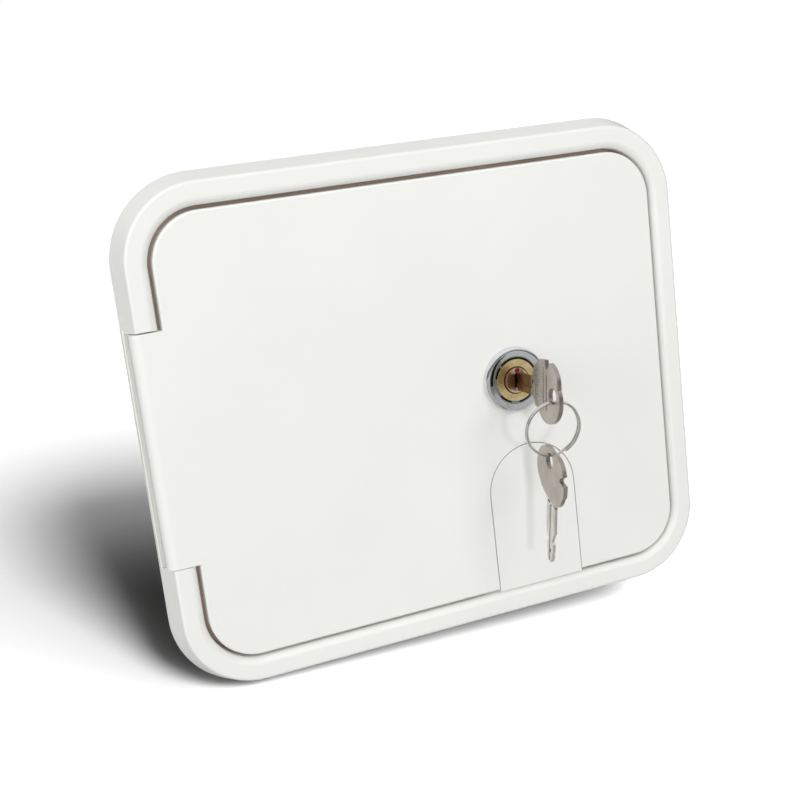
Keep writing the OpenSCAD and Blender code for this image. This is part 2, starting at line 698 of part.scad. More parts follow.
// A key in the plane x = 0: shoulder at the origin, blade towards +Y, bow the other way
module key_shape() {
    groove_w = blade_h * 0.24;
    groove_d = key_t * 0.22;
    rotate([90, 0, 90]) difference() {
        union() {
            // The bow's three lobes: below, above, and the shoulder beside the notch
            for (lobe = [[-1.1, -0.33, 0.75], [-0.985, 0.19, 0.735], [-0.62, 0.26, 0.665]])
                translate([lobe[0] * bow_r, lobe[1] * bow_r, -key_t / 2])
                    cylinder(h = key_t, r = lobe[2] * bow_r);
            key_slab() polygon([for (p = [[-1.25, 0.88], [-0.83, 0.97], [-0.45, 0.955], [0, 0.25],
                [-0.06, -0.31], [-0.23, -0.56], [-0.55, -0.83], [-1.1, -0.7], [-1.4, -0.08]]) p * bow_r]);
            // Blade, cut alike on both edges
            for (side = [-1, 1])
                key_slab() polygon([[-blade_h / 2, -side], [-blade_h / 2, side * blade_h / 2],
                    for (b = bitting()) [b[0] * blade_l, side * b[1]], [blade_l, -side]]);
        }
        translate([-bow_hole_u, bow_hole_v, -key_t]) cylinder(h = 2 * key_t, r = bow_hole_r);
        // Notch beside the shoulder
        translate([0, 0, -key_t]) linear_extrude(height = 2 * key_t)
            polygon([for (p = [[-0.6, 2], [-0.93, 0.67], [-1.03, 0.67], [-1.4, 1.32]]) p * bow_r]);
        // Groove along each side of the blade
        for (side = [-1, 1])
            translate([1, -groove_w / 2, side > 0 ? key_t / 2 - groove_d : -key_t / 2 - cut])
                cube([blade_l, groove_w, groove_d + cut]);
    }
}

module key_in_lock() {
    color("tan") raised() at_plug() translate([0, shoulder_y, 0]) key_shape();
}

// Where the two hanging pieces lie: from the first key's hole, then in the spare key's hole
module at_ring() {
    at_plug() translate([0, bow_hole_y, bow_hole_v]) rotate([0, -plug_turn, 0])
        rotate([0, 0, -hang_turn]) rotate([ring_lean, 0, 0]) rotate([0, hang_roll, 0])
            translate([0, 0, -wire_drop - ring_r]) children();
}

module at_spare() {
    at_ring() translate([0, 0, -ring_r]) rotate([spare_lean - ring_lean, 0, 0])
        translate([0, 0, -wire_drop]) children();
}

// Split ring: two turns of wire side by side
module key_ring() {
    color("silver") raised() at_ring()
        rotate([90, 0, 0])
            for (side = [-1, 1])
                translate([0, 0, side * wire_gap / 2])
                    rotate_extrude() translate([ring_r, 0]) circle(ring_wire_r, $fn = 16);
}

module spare_key() {
    color("tan") raised() at_spare()
        rotate([-90, 0, 0]) mirror([0, 0, 1])
            translate([0, bow_hole_u, -bow_hole_v]) key_shape();
}

frame();
door_seal();
hinge_pin_upper();
hinge_pin_lower();
door_leaf();
lock_rosette();
lock_body();
lock_nut();
lock_barrel();
lock_plug();
lock_mark();
lock_cam();
cam_screw();
cable_flap();
flap_pin();
flap_spring();
spring_end();
key_in_lock();
key_ring();
spare_key();
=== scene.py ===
# %% [markdown]
# Camper hatch door
#
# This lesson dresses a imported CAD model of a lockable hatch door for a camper. The CAD gives
# every piece its place and its motion. Here each visible piece gets the edges, the small
# details and the finish of the real one, then come a camera, a floor, soft lamps and a room
# for the metal to reflect.

# %% Load the frame
import math

import bmesh
import bpy
from mathutils import Matrix, Vector


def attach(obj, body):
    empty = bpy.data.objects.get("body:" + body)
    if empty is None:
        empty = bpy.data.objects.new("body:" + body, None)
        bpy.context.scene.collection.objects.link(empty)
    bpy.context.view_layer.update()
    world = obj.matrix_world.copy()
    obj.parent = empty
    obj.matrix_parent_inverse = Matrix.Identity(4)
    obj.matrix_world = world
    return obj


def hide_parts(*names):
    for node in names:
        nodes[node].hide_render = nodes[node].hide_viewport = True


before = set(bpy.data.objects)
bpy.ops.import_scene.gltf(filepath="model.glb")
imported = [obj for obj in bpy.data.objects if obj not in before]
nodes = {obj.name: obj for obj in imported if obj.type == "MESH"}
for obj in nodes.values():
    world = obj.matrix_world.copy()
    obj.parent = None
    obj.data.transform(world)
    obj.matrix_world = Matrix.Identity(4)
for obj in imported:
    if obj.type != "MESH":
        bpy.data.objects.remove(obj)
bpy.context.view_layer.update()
MM = 0.001

# %% [markdown]
# Places that the whole lesson uses
#
# The origin is on the back of the frame, in the middle of its lower side. X runs right, Z up
# and +Y into the wall. A detail on a tilted key could be modelled where the key hangs, with
# every number at an angle. It is easier to keep the few places that many pieces share as
# matrices: a detail is then modelled upright, in the key's own plane, and only set in place at
# the end. The numbers are those of the CAD source, in millimetres and degrees.

# %% Shared places
HATCH_Z = 105.8                # middle of the hatch above the origin
FACE_Y = -12.0                 # front of frame and leaf
LOCK = Vector((36.0, 0.0, HATCH_Z + 1.5))
BARREL_Y = -15.2               # front of the brass barrel
PLUG_TURN = 6.0
KEY_T = 2.0
BOW_R = 12.8
BLADE_L = 26.5
BLADE_IN = 10.3                # how much of the blade is in the lock
HOLE_R = 3.3                   # hole in the bow, and its place on the key
HOLE_U = 17.8
HOLE_V = -0.13 * BOW_R
RING_R = 11.7
WIRE_R = 0.62
WIRE_DROP = HOLE_R - WIRE_R - 0.25
HANG_TURN = 4.5                # how the ring and the spare key hang
HANG_ROLL = 4.5
RING_LEAN = 9.0
SPARE_LEAN = 5.5


def turn(x=0.0, y=0.0, z=0.0):
    """Turns about X, then Y, then Z, in degrees."""
    return (Matrix.Rotation(math.radians(z), 4, "Z") @ Matrix.Rotation(math.radians(y), 4, "Y")
            @ Matrix.Rotation(math.radians(x), 4, "X"))


def move(x=0.0, y=0.0, z=0.0):
    """Moves along the three axes."""
    return Matrix.Translation((x, y, z))


unmoved = Matrix.Identity(4)
at_plug = Matrix.Translation(LOCK) @ turn(y=PLUG_TURN)
at_key = at_plug @ move(y=BARREL_Y - (BLADE_L - BLADE_IN))
at_ring = (at_key @ move(y=-HOLE_U, z=HOLE_V) @ turn(y=-PLUG_TURN) @ turn(z=-HANG_TURN)
           @ turn(x=RING_LEAN) @ turn(y=HANG_ROLL) @ move(z=-WIRE_DROP - RING_R))
at_spare = (at_ring @ move(z=-RING_R) @ turn(x=SPARE_LEAN - RING_LEAN) @ move(z=-WIRE_DROP)
            @ turn(x=-90) @ Matrix.Scale(-1, 4, (0, 0, 1)) @ move(y=HOLE_U, z=-HOLE_V))
print("ring middle, mm:", [round(v, 1) for v in at_ring.translation])

# %% [markdown]
# The camera
#
# The photograph was taken from the left and a little above, with the hatch leaning back. The
# camera could be turned by eye until it looks right, but a straight-edged object gives enough
# lines to work its place out: place, turn and lens come from the corners of the frame and of
# the leaf. The lens is found as a focal length in pixels and scaled to the sensor's width.

# %% Camera
CAMERA_PLACE = Vector((-199.258, -500.592, 118.492 + HATCH_Z))
CAMERA_TURN = (77.361, 6.7348, -21.9588)
FOCAL_PIXELS = 1276.0136
PICTURE_PIXELS = 800
SENSOR_WIDTH = 36.0

camera = bpy.data.objects.new("camera", bpy.data.cameras.new("camera"))
bpy.context.scene.collection.objects.link(camera)
bpy.context.scene.camera = camera
camera.matrix_world = Matrix.Translation(CAMERA_PLACE * MM) @ turn(*CAMERA_TURN)
camera.data.sensor_width = SENSOR_WIDTH
camera.data.lens = FOCAL_PIXELS / PICTURE_PIXELS * SENSOR_WIDTH
camera.data.clip_start, camera.data.clip_end = 0.05, 20.0
print("lens:", round(camera.data.lens, 2), "mm")

# %% [markdown]
# Selecting, shading and placing
#
# An operator in Blender acts on all that is selected, and the loaded CAD is selected as a
# whole. So each step begins by deselecting everything, or by making one piece the only one
# selected. Smooth shading by angle keeps a corner sharp where two faces meet steeply. Weighted
# normals then let the large flat faces keep their own direction, so that only the narrow
# rounded edges shade as round. A finished piece leaves its object at the origin and has its
# place in its mesh, because patterns on Object coordinates would otherwise slide.

# %% Basic helpers
def deselect():
    """Leaves nothing selected, in object mode."""
    if bpy.context.object and bpy.context.object.mode != "OBJECT":
        bpy.ops.object.mode_set(mode="OBJECT")
    bpy.ops.object.select_all(action="DESELECT")


def only(piece):
    """Makes one object the only selected one, and the active one."""
    deselect()
    piece.select_set(True)
    bpy.context.view_layer.objects.active = piece
    return piece


def join_all(pieces, name):
    """Joins pieces into the first of them, and names it."""
    deselect()
    for piece in pieces:
        piece.select_set(True)
    bpy.context.view_layer.objects.active = pieces[0]
    bpy.ops.object.join()
    pieces[0].name = name
    return pieces[0]


def smooth(piece, angle=30):
    """Shades a piece smooth, apart from corners steeper than an angle."""
    only(piece)
    bpy.ops.object.shade_smooth_by_angle(angle=math.radians(angle))


def settle(piece, place=unmoved):
    """Sets a piece modelled in millimetres in its place, in metres, its object at the origin."""
    piece.data.transform(Matrix.Scale(MM, 4) @ place @ piece.matrix_world)
    piece.matrix_world = unmoved
    if place.determinant() < 0:
        piece.data.flip_normals()
    return piece


def finish_with(piece, *modifiers):
    """Adds modifiers as (kind, settings) and applies them one after another."""
    only(piece)
    for kind, settings in modifiers:
        made = piece.modifiers.new(kind.lower(), kind)
        for name, value in settings.items():
            setattr(made, name, value)
        bpy.ops.object.modifier_apply(modifier=made.name)
    return piece


def even_shading(piece):
    """Lets the large faces keep their own normals."""
    return finish_with(piece, ("WEIGHTED_NORMAL", {"weight": 90, "keep_sharp": True}))


print("helpers for selecting, shading and placing are ready")

# %% [markdown]
# Rounding the edges of a CAD piece
#
# Real mouldings and pressings never have a perfectly sharp edge, and it is the thin bright line
# on the edge that makes them look real. A Bevel modifier could round all edges alike, but a
# rim and a hairline gap need different widths. So `soft_copy` welds a copy of the CAD node's
# loose triangles, merges flat triangles into whole faces, and bevels just the steep edges that
# a rule picks by their place. `done` gives a piece its finish and body, and `dress` does
# both for a piece that takes the place of its CAD node.

# %% Rounded copies
STEEP = math.radians(28)       # only edges with a steeper bend than this are rounded
WELD = 0.002


def soft_copy(node, name, rules, flat=0.4):
    """A welded copy of a CAD node with its sharp edges rounded. A rule is (test, width, steps):
    the test gets an edge's two ends in millimetres. Faces that bend less than `flat` degrees
    are merged first, and none are merged where it is 0."""
    piece = bpy.data.objects.new(name, nodes[node].data.copy())
    bpy.context.scene.collection.objects.link(piece)
    piece.data.materials.clear()
    piece.data.transform(Matrix.Scale(1 / MM, 4))
    only(piece)
    bpy.ops.object.mode_set(mode="EDIT")
    bpy.ops.mesh.select_all(action="SELECT")
    bpy.ops.mesh.remove_doubles(threshold=WELD)
    if flat:
        bpy.ops.mesh.dissolve_limited(angle_limit=math.radians(flat))
    bpy.ops.mesh.select_mode(type="EDGE")
    rounded = 0
    for test, width, steps in rules:
        bpy.ops.mesh.select_all(action="DESELECT")
        mesh = bmesh.from_edit_mesh(piece.data)
        for edge in mesh.edges:
            if len(edge.link_faces) == 2 and edge.calc_face_angle(0) > STEEP:
                if test(edge.verts[0].co, edge.verts[1].co):
                    edge.select_set(True)
                    rounded += 1
        bmesh.update_edit_mesh(piece.data)
        bpy.ops.mesh.bevel(offset=width, offset_type="OFFSET", segments=steps, profile=0.5,
                           affect="EDGES", clamp_overlap=False, loop_slide=True)
    bpy.ops.object.mode_set(mode="OBJECT")
    piece.data.transform(Matrix.Scale(MM, 4))
    smooth(piece)
    even_shading(piece)
    print(f"{name}: {rounded} edges rounded, {len(piece.data.polygons)} faces")
    return piece


def done(piece, finish, body, slot, *replaced):
    """Gives a piece its finish, the body it rides on and the CAD nodes it replaces; the slot is
    not used.
    """
    piece.data.materials.clear()
    piece.data.materials.append(finish)
    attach(piece, body)
    if replaced:
        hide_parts(*replaced)
    return piece


def dress(node, name, finish, body, slot, *rules, flat=0.4):
    """A rounded copy of a CAD node, finished, in the place of that node."""
    return done(soft_copy(node, name, rules, flat), finish, body, slot, node)


def every(a, b):
    """The rule that rounds every steep edge."""
    return True


print("edges that bend more than", round(math.degrees(STEEP)), "degrees can be rounded")

# %% [markdown]
# Patterns shared by several finishes
#
# A pattern that more than one finish needs could be copied from material to material. As a
# node group it is built once, and each material sets its own values on it. Each group here
# puts out two things that vary over the surface: a height for a Bump node, and a tone from 0
# to 1 that shifts a colour or a roughness. All of them read Object coordinates, in metres, so
# that the grain has its real size on every piece and stays put when the piece moves.

# %% Node helpers
def add_node(tree, kind, **settings):
    """A node with its settings. A setting named like an input sets that input's value."""
    made = tree.nodes.new(kind)
    for name, value in settings.items():
        if name in made.inputs:
            made.inputs[name].default_value = value
        else:
            setattr(made, name, value)
    return made


def link(tree, *pairs):
    """Joins sockets, each pair an output and an input."""
    for source, target in pairs:
        tree.links.new(source, target)


def new_group(name, inputs):
    """A shader node group with float or vector inputs, and a height and a tone as outputs."""
    tree = bpy.data.node_groups.new(name, "ShaderNodeTree")
    for label, value in inputs.items():
        kind = "NodeSocketVector" if isinstance(value, tuple) else "NodeSocketFloat"
        socket = tree.interface.new_socket(label, in_out="INPUT", socket_type=kind)
        socket.default_value = value
    for label in ("Height", "Tone"):
        tree.interface.new_socket(label, in_out="OUTPUT", socket_type="NodeSocketFloat")
    given, results = tree.nodes.new("NodeGroupInput"), tree.nodes.new("NodeGroupOutput")
    where = tree.nodes.new("ShaderNodeTexCoord").outputs["Object"]
    return tree, given, results, where


print("node helpers are ready")

# %% [markdown]
# Moulded grain
#
# A mould for plastic is often spark-eroded, and its fine, even texture is left on the moulding.
# An image of such grain would show its repeat on a large panel. A fine noise has none, and a
# second, broad noise gives the slow change of gloss over a real panel.

# %% Grain group
grain_tree, given, results, where = new_group("moulded_grain", {"Grain": 1800.0, "Clouds": 22.0})
fine = add_node(grain_tree, "ShaderNodeTexNoise", Detail=3.0, Roughness=0.6)
broad = add_node(grain_tree, "ShaderNodeTexNoise", Detail=2.0, Roughness=0.5)
for noise, size in ((fine, "Grain"), (broad, "Clouds")):
    link(grain_tree, (where, noise.inputs["Vector"]),
         (given.outputs[size], noise.inputs["Scale"]))
link(grain_tree, (fine.outputs["Fac"], results.inputs["Height"]),
     (broad.outputs["Fac"], results.inputs["Tone"]))
print("nodes in the grain group:", len(grain_tree.nodes))

# %% [markdown]
# Brushed lines
#
# Rolling and brushing leave long, fine lines on sheet metal and wire. They could be drawn with
# a wave texture, which looks like a printed grid. Noise that is squeezed in two directions and
# left long in the third gives lines that begin and end, as scratches do.

# %% Brushed group
brush_tree, given, results, where = new_group("brushed_lines", {"Stretch": (900.0, 900.0, 40.0)})
stretched = add_node(brush_tree, "ShaderNodeVectorMath", operation="MULTIPLY")
lines = add_node(brush_tree, "ShaderNodeTexNoise", Scale=1.0, Detail=4.0, Roughness=0.65)
stains = add_node(brush_tree, "ShaderNodeTexNoise", Scale=180.0, Detail=2.0)
link(brush_tree,
     (where, stretched.inputs[0]),
     (given.outputs["Stretch"], stretched.inputs[1]),
     (stretched.outputs["Vector"], lines.inputs["Vector"]),
     (where, stains.inputs["Vector"]),
     (lines.outputs["Fac"], results.inputs["Height"]),
     (stains.outputs["Fac"], results.inputs["Tone"]))
print("nodes in the brushed group:", len(brush_tree.nodes))

# %% [markdown]
# Turned rings
#
# Barrel and plug are turned on a lathe, whose tool leaves fine circles round the axis. They
# could be modelled as grooves, at a great cost in faces. Here the distance from the lock's axis
# drives a noise of one dimension, so that the height changes with that distance alone.

# %% Turned group
turned_tree, given, results, where = new_group(
    "turned_rings", {"Centre": tuple(LOCK * MM), "Rings": 2600.0})
offset = add_node(turned_tree, "ShaderNodeVectorMath", operation="SUBTRACT")
flatten = add_node(turned_tree, "ShaderNodeVectorMath", operation="MULTIPLY")
flatten.inputs[1].default_value = (1.0, 0.0, 1.0)
radius = add_node(turned_tree, "ShaderNodeVectorMath", operation="LENGTH")
rings = add_node(turned_tree, "ShaderNodeTexNoise", noise_dimensions="1D", Detail=3.0)
blush = add_node(turned_tree, "ShaderNodeTexNoise", Scale=260.0, Detail=2.0)
link(turned_tree,
     (where, offset.inputs[0]),
     (given.outputs["Centre"], offset.inputs[1]),
     (offset.outputs["Vector"], flatten.inputs[0]),
     (flatten.outputs["Vector"], radius.inputs[0]),
     (radius.outputs["Value"], rings.inputs["W"]),
     (given.outputs["Rings"], rings.inputs["Scale"]),
     (where, blush.inputs["Vector"]),
     (rings.outputs["Fac"], results.inputs["Height"]),
     (blush.outputs["Fac"], results.inputs["Tone"]))
print("node groups:", [group.name for group in bpy.data.node_groups])

# %% [markdown]
# One maker for all finishes
#
# Plastic, rubber, brass and chrome differ in their numbers, not in how they are built: two
# close colours are mixed by the pattern's tone, the roughness moves a little with it, and the
# pattern's height goes through a Bump node. So one function makes them all, each with one
# Principled shader. The depth of the bump is a real one, in metres: a few hundredths of a
# millimetre at most.

# %% Finish maker
CONTRAST = 2.5                 # how much of the pattern's range reaches the full colours


def finish(name, colour, other, rough=(0.4, 0.5), depth=0.00001, metallic=0.0,
           pattern="moulded_grain", values=None, strength=0.6):
    """A material from a pattern group: two colours and two roughnesses, mixed by its tone."""
    material = bpy.data.materials.new(name)
    material.use_nodes = True
    tree = material.node_tree
    shader = tree.nodes["Principled BSDF"]
    shader.inputs["Metallic"].default_value = metallic
    group = add_node(tree, "ShaderNodeGroup", node_tree=bpy.data.node_groups[pattern])
    for label, value in (values or {}).items():
        group.inputs[label].default_value = value
    spread = add_node(tree, "ShaderNodeMapRange", **{"From Min": 0.5 - 0.5 / CONTRAST,
                                                     "From Max": 0.5 + 0.5 / CONTRAST})
    tone = add_node(tree, "ShaderNodeMix", data_type="RGBA")
    tone.inputs[6].default_value = (*colour, 1.0)
    tone.inputs[7].default_value = (*other, 1.0)
    gloss = add_node(tree, "ShaderNodeMapRange", **{"To Min": rough[0], "To Max": rough[1]})
    bump = add_node(tree, "ShaderNodeBump", Strength=strength, Distance=depth)
    link(tree,
         (group.outputs["Tone"], spread.inputs["Value"]),
         (spread.outputs["Result"], tone.inputs[0]),
         (tone.outputs[2], shader.inputs["Base Color"]),
         (spread.outputs["Result"], gloss.inputs["Value"]),
         (gloss.outputs["Result"], shader.inputs["Roughness"]),
         (group.outputs["Height"], bump.inputs["Height"]),
         (bump.outputs["Normal"], shader.inputs["Normal"]))
    return material


print("the finish maker is ready")

# %% [markdown]
# White plastic, rubber, paint and painted shade
#
# A large smooth white part shows its finish only by soft highlights, so its two colours are
# close together. Pure white would burn out under the lamps, so they stay a little below it.
# The seal is brown. The two dark finishes are painted shade: they stand for the depth of narrow
# gaps and pits, which could be cut, but hardly any light would reach their ground.

# %% Plain finishes
white_plastic = finish("white_plastic", (0.868, 0.868, 0.834), (0.852, 0.852, 0.822),
                       rough=(0.36, 0.42), depth=0.00002, strength=0.35)
seal_rubber = finish("seal_rubber", (0.46, 0.345, 0.29), (0.37, 0.275, 0.23),
                     rough=(0.6, 0.8), depth=0.00004)
mark_paint = finish("mark_paint", (0.17, 0.006, 0.006), (0.12, 0.004, 0.004),
                    rough=(0.35, 0.5), values={"Grain": 2500.0, "Clouds": 900.0})
painted_shade_black = finish("painted_shade_black", (0.012, 0.012, 0.013), (0.02, 0.02, 0.02),
                     rough=(0.6, 0.8))
painted_shade_brown = finish("painted_shade_brown", (0.09, 0.045, 0.02), (0.05, 0.025, 0.012),
                      rough=(0.5, 0.7))
print("plain finishes:", [m.name for m in (white_plastic, seal_rubber, mark_paint)])

# %% [markdown]
# Metals
#
# A metal's colour is the colour of its reflections, so its Metallic is 1 and the roughness does
# the rest: low for chrome and for the polished ring, higher for zinc and worn keys. The blade of
# the key in the lock is painted brown: a painted reflection of the brass plug and its dark
# keyway, which its nickel shows. The narrow sides of both keys are darker than their plated
# faces:
# partly their own dull sheared finish, partly painted shade for the dark they reflect. The little
# slope of each key's step is a painted highlight.

# %% Metal finishes
pin_steel = finish("pin_steel", (0.56, 0.56, 0.57), (0.46, 0.46, 0.47), rough=(0.25, 0.38),
                   metallic=1.0, pattern="brushed_lines")
lock_chrome = finish("lock_chrome", (0.80, 0.81, 0.82), (0.74, 0.75, 0.76), rough=(0.14, 0.22),
                     metallic=1.0, depth=0.000004, values={"Grain": 900.0, "Clouds": 240.0})
lock_zinc = finish("lock_zinc", (0.5, 0.5, 0.5), (0.38, 0.38, 0.39), rough=(0.3, 0.45),
                   metallic=1.0, values={"Grain": 1500.0, "Clouds": 300.0})
barrel_brass = finish("barrel_brass", (0.96, 0.80, 0.44), (0.80, 0.60, 0.26),
                      rough=(0.2, 0.3), metallic=1.0, pattern="turned_rings",
                      depth=0.00005, values={"Rings": 3800.0})
plug_brass = finish("plug_brass", (0.92, 0.68, 0.50), (0.80, 0.55, 0.36), rough=(0.24, 0.34),
                    metallic=1.0, pattern="turned_rings", depth=0.00001)
key_nickel = finish("key_nickel", (0.53, 0.49, 0.445), (0.47, 0.43, 0.385), rough=(0.28, 0.38),
                    metallic=1.0, pattern="brushed_lines",
                    values={"Stretch": (1500.0, 1500.0, 120.0)})
painted_step_highlight = finish("painted_step_highlight", (0.92, 0.89, 0.84), (0.8, 0.77, 0.72), rough=(0.3, 0.4),
                    metallic=1.0, pattern="brushed_lines")
dull_edge_and_shade = finish("dull_edge_and_shade", (0.44, 0.405, 0.36), (0.33, 0.3, 0.265), rough=(0.3, 0.42),
                  metallic=1.0, pattern="brushed_lines",
                  values={"Stretch": (1500.0, 1500.0, 1500.0)})
key_blade = finish("key_blade", (0.80, 0.785, 0.75), (0.68, 0.665, 0.63), rough=(0.3, 0.4),
                   metallic=1.0, pattern="brushed_lines",
                   values={"Stretch": (1500.0, 1500.0, 120.0)})
painted_brass_reflection = finish("painted_brass_reflection", (0.42, 0.285, 0.175), (0.26, 0.165, 0.095), rough=(0.2, 0.3),
                  metallic=1.0, pattern="brushed_lines",
                  values={"Stretch": (1500.0, 120.0, 1500.0)})
ring_steel = finish("ring_steel", (0.72, 0.705, 0.68), (0.6, 0.585, 0.56), rough=(0.1, 0.18),
                    metallic=1.0, pattern="brushed_lines")
print("metals:", [m.name for m in (pin_steel, lock_chrome, barrel_brass, key_nickel, ring_steel)])

# %% [markdown]
# The white mouldings
#
# Frame, leaf and cable flap are injection mouldings. Their shapes come from the CAD, ribs and
# all. They could be shown as they are, but every edge would be knife sharp. A rounding that is
# larger on the frame's rim than on the leaf tells the eye how big the object is. The rules pick
# edges by their place: those in the plane of the face, then the lower ones.

# %% Frame, leaf and flap
NEAR = 0.03                    # how near to a plane an edge has to lie
POCKET_DEPTH = 2.0             # how far the frame's inner chamfer reaches behind the face
STRIP_BACK_Y, STRIP_FRONT_Y = -2.4, -3.7
STRIP_X = -112.0               # the base strip lies left of this
LEAF_SOFT = (0.7, 0.9)         # depth of the leaf's soft edge behind the face


def on_face(a, b):
    return all(abs(p.y - FACE_Y) < NEAR for p in (a, b))


def on_pocket_wall(a, b):
    return all(abs(p.y - FACE_Y - POCKET_DEPTH) < NEAR for p in (a, b))


def on_base_strip(a, b):
    return all(STRIP_FRONT_Y < p.y < STRIP_BACK_Y and p.x < STRIP_X for p in (a, b))


def on_leaf_edge(a, b):
    return all(LEAF_SOFT[0] < p.y - FACE_Y < LEAF_SOFT[1] for p in (a, b))


dress("frame", "frame_shell", white_plastic, "frame", "white_plastic",
      (on_face, 1.1, 4), (on_pocket_wall, 0.9, 3), (on_base_strip, 0.25, 2))
dress("door_leaf", "leaf_panel", white_plastic, "door", "white_plastic",
      (on_face, 0.14, 2), (on_leaf_edge, 0.3, 2))
dress("cable_flap", "flap_panel", white_plastic, "flap", "white_plastic", (on_face, 0.1, 2))

# %% [markdown]
# Rules for the lock
#
# All of the lock is turned about one axis, so both the edges to round and the faces that get
# painted shade are found by their distance from that axis and by their depth. Faces could also be
# picked by number, but those numbers change whenever the CAD changes. A second finish goes on
# some faces of a piece as a further material slot.

# %% Lock rules
def from_lock(point):
    """Distance of a point from the lock's axis, in millimetres."""
    return math.hypot(point.x - LOCK.x, point.z - LOCK.z)


def in_front_of(depth):
    """A rule for edges that lie in front of a depth."""
    return lambda a, b: max(a.y, b.y) < depth


def inside(reach, front, back):
    """A test for faces nearer to the lock's axis than a reach, between two depths."""
    return lambda middle, normal: from_lock(middle) < reach and front < middle.y < back


def second_finish(piece, material, test):
    """Gives some faces of a finished piece another material. The test gets a face's middle, in
    millimetres, and its normal."""
    piece.data.materials.append(material)
    last = len(piece.data.materials) - 1
    count = 0
    for face in piece.data.polygons:
        if test(face.center / MM, face.normal):
            face.material_index = last
            count += 1
    print(f"{piece.name}: {count} faces in {material.name}")


print("lock axis at x, z:", round(LOCK.x, 1), round(LOCK.z, 1))

# %% [markdown]
# The lock
#
# A chromed rosette, a body with gaps between its lands, a turned barrel, and a plug with a
# keyway and a red mark. Behind the leaf come a nut, and a cam with its screw. The CAD has all
# of these shapes. The gaps in the rosette and between the lands, the groove round the plug and
# the walls of the keyway get painted shade. Turned and plated metal has small bright edges too,
# so each gets a fine rounding. The plug keeps its triangles: merged into one face, its front
# would cover the small recess that the mark sits in.

# %% Lock pieces
LIP_GAPS = (12.5, -14.93, -12.1)      # reach from the axis, front and back of the places with painted shade
LAND_GAPS = (10.02, -14.93, -10.9)
PLUG_GAP = (6.01, -15.15, -14.5)
KEYWAY = (3.3, -15.93, 0.0)
BARREL_EDGE_Y = -14.0                 # edges in front of these depths are rounded
PLUG_EDGE_Y = -15.5
MARK_EDGE_Y = -15.8
PLUG_EDGE_R = 5.3                     # the plug's outer edge lies farther out than this

rosette = dress("lock_rosette", "rosette", lock_chrome, "door", "lock_chrome", (every, 0.12, 2))
# Painted shade: black in the gaps of the rosette and the body, brown in the groove round the plug
# and on the keyway's walls.
second_finish(rosette, painted_shade_black, inside(*LIP_GAPS))
body_shell = dress("lock_body", "lock_shell", lock_zinc, "door", "lock_zinc",
                   (in_front_of(FACE_Y), 0.05, 2))
second_finish(body_shell, painted_shade_black, inside(*LAND_GAPS))
barrel = dress("lock_barrel", "barrel", barrel_brass, "door", "lock_brass",
               (in_front_of(BARREL_EDGE_Y), 0.1, 2))
second_finish(barrel, painted_shade_brown, inside(*PLUG_GAP))


def on_plug_edge(a, b):
    return in_front_of(PLUG_EDGE_Y)(a, b) and min(from_lock(a), from_lock(b)) > PLUG_EDGE_R


def on_keyway(middle, normal):
    return inside(*KEYWAY)(middle, normal) and abs(normal.y) < 0.9


plug = dress("lock_plug", "plug", plug_brass, "plug", "lock_brass", (on_plug_edge, 0.12, 2),
             flat=0)
second_finish(plug, painted_shade_brown, on_keyway)
dress("lock_mark", "mark", mark_paint, "plug", "mark_paint", (in_front_of(MARK_EDGE_Y), 0.2, 3))
dress("lock_cam", "cam", pin_steel, "plug", "pin_steel", (every, 0.25, 2))
dress("lock_nut", "nut", lock_zinc, "door", "lock_zinc", (every, 0.25, 2))
dress("cam_screw", "screw", pin_steel, "plug", "pin_steel", (every, 0.2, 2))

# %% [markdown]
# Keys
#
# The two keys are stampings of nickel-plated brass. The bow is thicker than the blade, and the
# step between them runs slantwise across the shoulder, one way on one face and the other way
# on the other. The step could be cut with a Boolean, which leaves a crooked edge where it meets
# the rounded outline. Instead the copy of the CAD key is taken back to its own flat plane, cut
# along two close slanting lines with bisect, and all beyond the second line is pressed thinner.

# %% Key maker
STEP_FROM, STEP_TO = -0.77, 0.03
BLADE_PRESS = 0.64             # how thick the blade is, as a share of the bow
REFLECTION_FROM = 1.6                # where the blade in the lock begins to show its painted reflection
GROOVE_FROM = -3.0             # where the blade's groove begins, and half its width with room
GROOVE_HALF = 1.7


def slant(side, lean):
    """Direction square to the step, on one face of a key. The two faces lean opposite ways."""
    return Vector((0.0, 0.906, -0.423 * side * lean)).normalized()


def key_piece(node, name, place, lean):
    """A key from its CAD node: soft edges, and a blade thinner than its bow."""
    to_flat = place.inverted()

    def outline(a, b):
        """All but the edges of the blade's groove, which are too close for a rounding."""
        return not all(p.y > GROOVE_FROM and abs(p.z) < GROOVE_HALF
                       for p in (to_flat @ a, to_flat @ b))

    piece = soft_copy(node, name, [(outline, 0.14, 2)])
    bpy.ops.mesh.customdata_custom_splitnormals_clear()
    to_place = Matrix.Scale(MM, 4) @ place
    piece.data.transform(to_place.inverted())
    only(piece)
    bpy.ops.object.mode_set(mode="EDIT")
    for side in (-1, 1):
        square = slant(side, lean)
        for shift in (STEP_FROM, STEP_TO):
            bpy.ops.mesh.select_all(action="SELECT")
            bpy.ops.mesh.bisect(plane_co=square * shift, plane_no=square)
    bpy.ops.mesh.select_all(action="SELECT")
    bpy.ops.mesh.bisect(plane_co=(0.0, REFLECTION_FROM, 0.0), plane_no=(0.0, 1.0, 0.0))
    bpy.ops.object.mode_set(mode="OBJECT")
    for vertex in piece.data.vertices:
        along = vertex.co.dot(slant(math.copysign(1, vertex.co.x), lean))
        share = min(max((along - STEP_FROM) / (STEP_TO - STEP_FROM), 0.0), 1.0)
        vertex.co.x *= 1.0 - (1.0 - BLADE_PRESS) * share
    piece.data.transform(to_place)
    smooth(piece)
    return even_shading(piece)


key = key_piece("key_in_lock", "key", at_key, 1)
spare = key_piece("spare_key", "spare", at_spare, -1)
done(key, key_nickel, "key", "key_nickel", "key_in_lock")
done(spare, key_nickel, "spare", "key_nickel", "spare_key")
